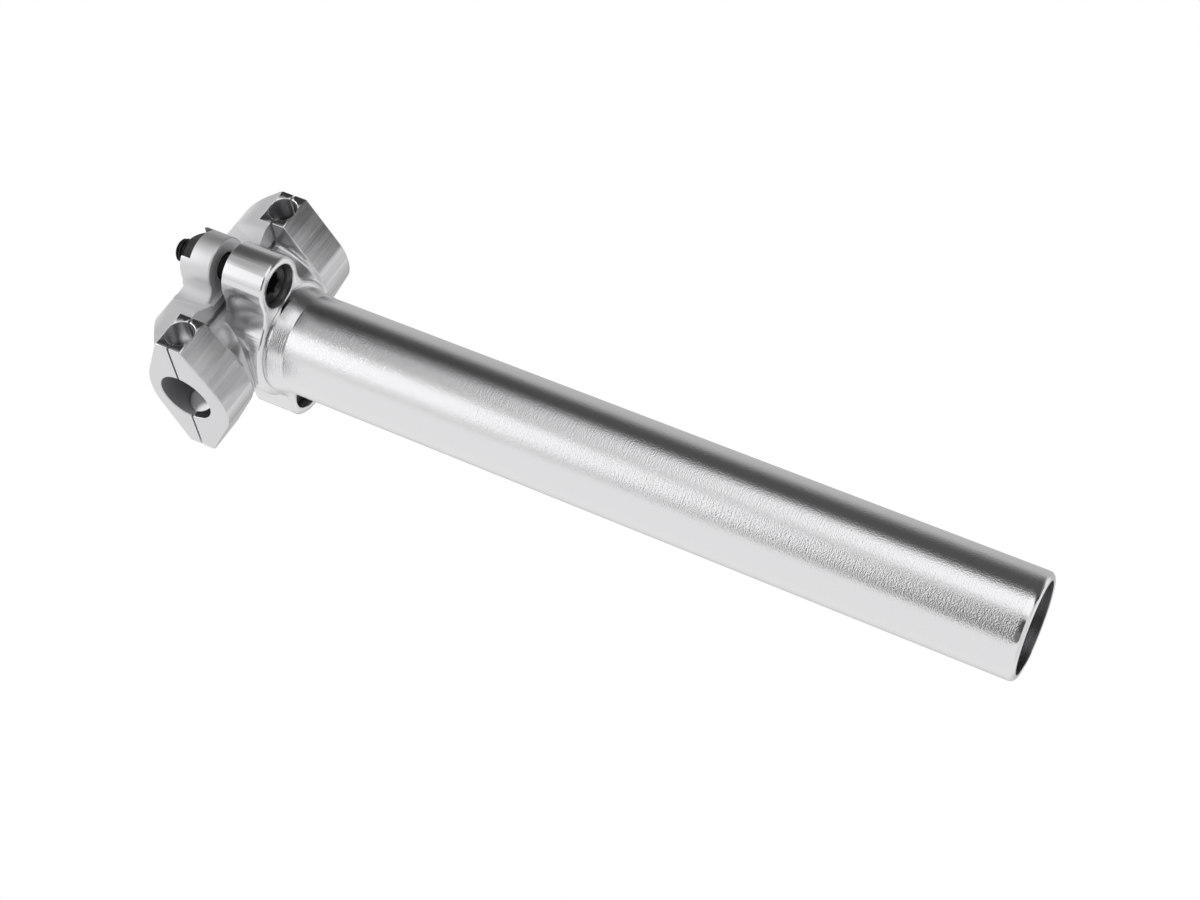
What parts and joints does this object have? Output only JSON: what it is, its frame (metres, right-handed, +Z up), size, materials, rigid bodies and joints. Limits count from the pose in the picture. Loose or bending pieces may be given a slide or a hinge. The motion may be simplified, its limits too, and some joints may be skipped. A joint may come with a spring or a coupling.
{
  "type": "bicycle seatpost",
  "caption": "Short straight seatpost: a turned alloy tube whose forged head carries a two-bolt, tilting clamp for round saddle rails.",
  "frame": {"origin": "centre of the tube's open lower end, on its end plane", "axes": "+Z up the tube to the saddle clamp; +X through the front bolt, fore and aft; +Y across the bicycle, along the clamp's tilting axis"},
  "size_m": [0.0536, 0.0546, 0.221],
  "materials": {
    "turned_alloy": "bright turned and polished, with fine lathe lines round the tube",
    "machined_alloy": "machined bright, with fine tool lines",
    "blasted_alloy": "bead blasted, satin to matt",
    "black_steel": "black oxide, lightly oiled"
  },
  "bodies": {
    "post": {"post": "turned_alloy"},
    "clamp": {"lower_jaw": "machined_alloy", "upper_jaw": "blasted_alloy"},
    "front_bolt": {"front_bolt": "black_steel"},
    "rear_bolt": {"rear_bolt": "black_steel"},
    "front_nut": {"front_nut": "black_steel"},
    "rear_nut": {"rear_nut": "black_steel"}
  },
  "joints": [
    {"name": "saddle_tilt", "type": "hinge", "parent": "post", "child": "clamp", "pos_m": [0, 0, 0.206], "axis": [0, 1, 0], "range_deg": [-7, 7]},
    {"name": "front_bolt_swing", "type": "hinge", "parent": "post", "child": "front_bolt", "pos_m": [0.01925, 0, 0.2002], "axis": [0, 1, 0], "range_deg": [-4.3, 4.3]},
    {"name": "front_nut_travel", "type": "slide", "parent": "front_bolt", "child": "front_nut", "axis": [0, 0, 1], "range_m": [-0.0025, 0.0025]},
    {"name": "rear_bolt_swing", "type": "hinge", "parent": "post", "child": "rear_bolt", "pos_m": [-0.01925, 0, 0.2002], "axis": [0, 1, 0], "range_deg": [-4.3, 4.3]},
    {"name": "rear_nut_travel", "type": "slide", "parent": "rear_bolt", "child": "rear_nut", "axis": [0, 0, 1], "range_m": [-0.0025, 0.0025]}
  ],
  "couplings": [
    {"joint": "front_bolt_swing", "follows": "saddle_tilt", "ratio": 0.575},
    {"joint": "front_nut_travel", "follows": "saddle_tilt", "m_per_rad": -0.01925},
    {"joint": "rear_bolt_swing", "follows": "saddle_tilt", "ratio": 0.575},
    {"joint": "rear_nut_travel", "follows": "saddle_tilt", "m_per_rad": 0.01925}
  ]
}
